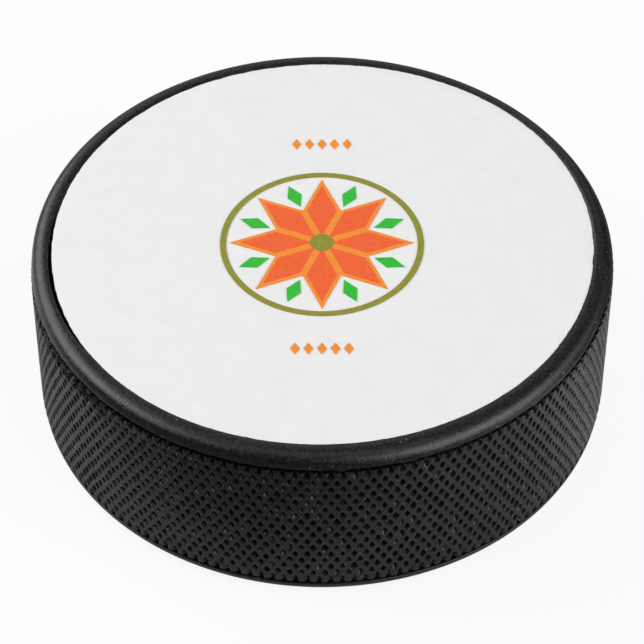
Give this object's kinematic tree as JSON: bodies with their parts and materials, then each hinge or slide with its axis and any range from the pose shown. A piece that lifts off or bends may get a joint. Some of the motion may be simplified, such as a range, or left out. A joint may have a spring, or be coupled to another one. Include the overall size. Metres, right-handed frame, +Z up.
{
  "type": "hockey puck",
  "caption": "Ice hockey puck: a black rubber disc with a diamond-knurled side, smooth rounded bands at both ends and a white printed top face in a shallow recess.",
  "frame": {"origin": "centre of the flat bottom face, on the puck's axis", "axes": "+Z up along the puck's axis, from the bottom face to the printed face; the print reads upright when seen from -Y, with +X to its right"},
  "size_m": [0.0762, 0.0762, 0.0254],
  "materials": {
    "black_rubber": "moulded vulcanised rubber, satin with fine speckle",
    "white_print": "matt white printed coating",
    "orange_ink": "matt cured ink",
    "amber_ink": "matt cured ink",
    "green_ink": "matt cured ink",
    "olive_ink": "matt cured ink"
  },
  "bodies": {
    "root": {"puck_body": "black_rubber", "white_field": "white_print", "print_orange": "orange_ink", "print_amber": "amber_ink", "print_green": "green_ink", "print_olive": "olive_ink"}
  },
  "joints": []
}
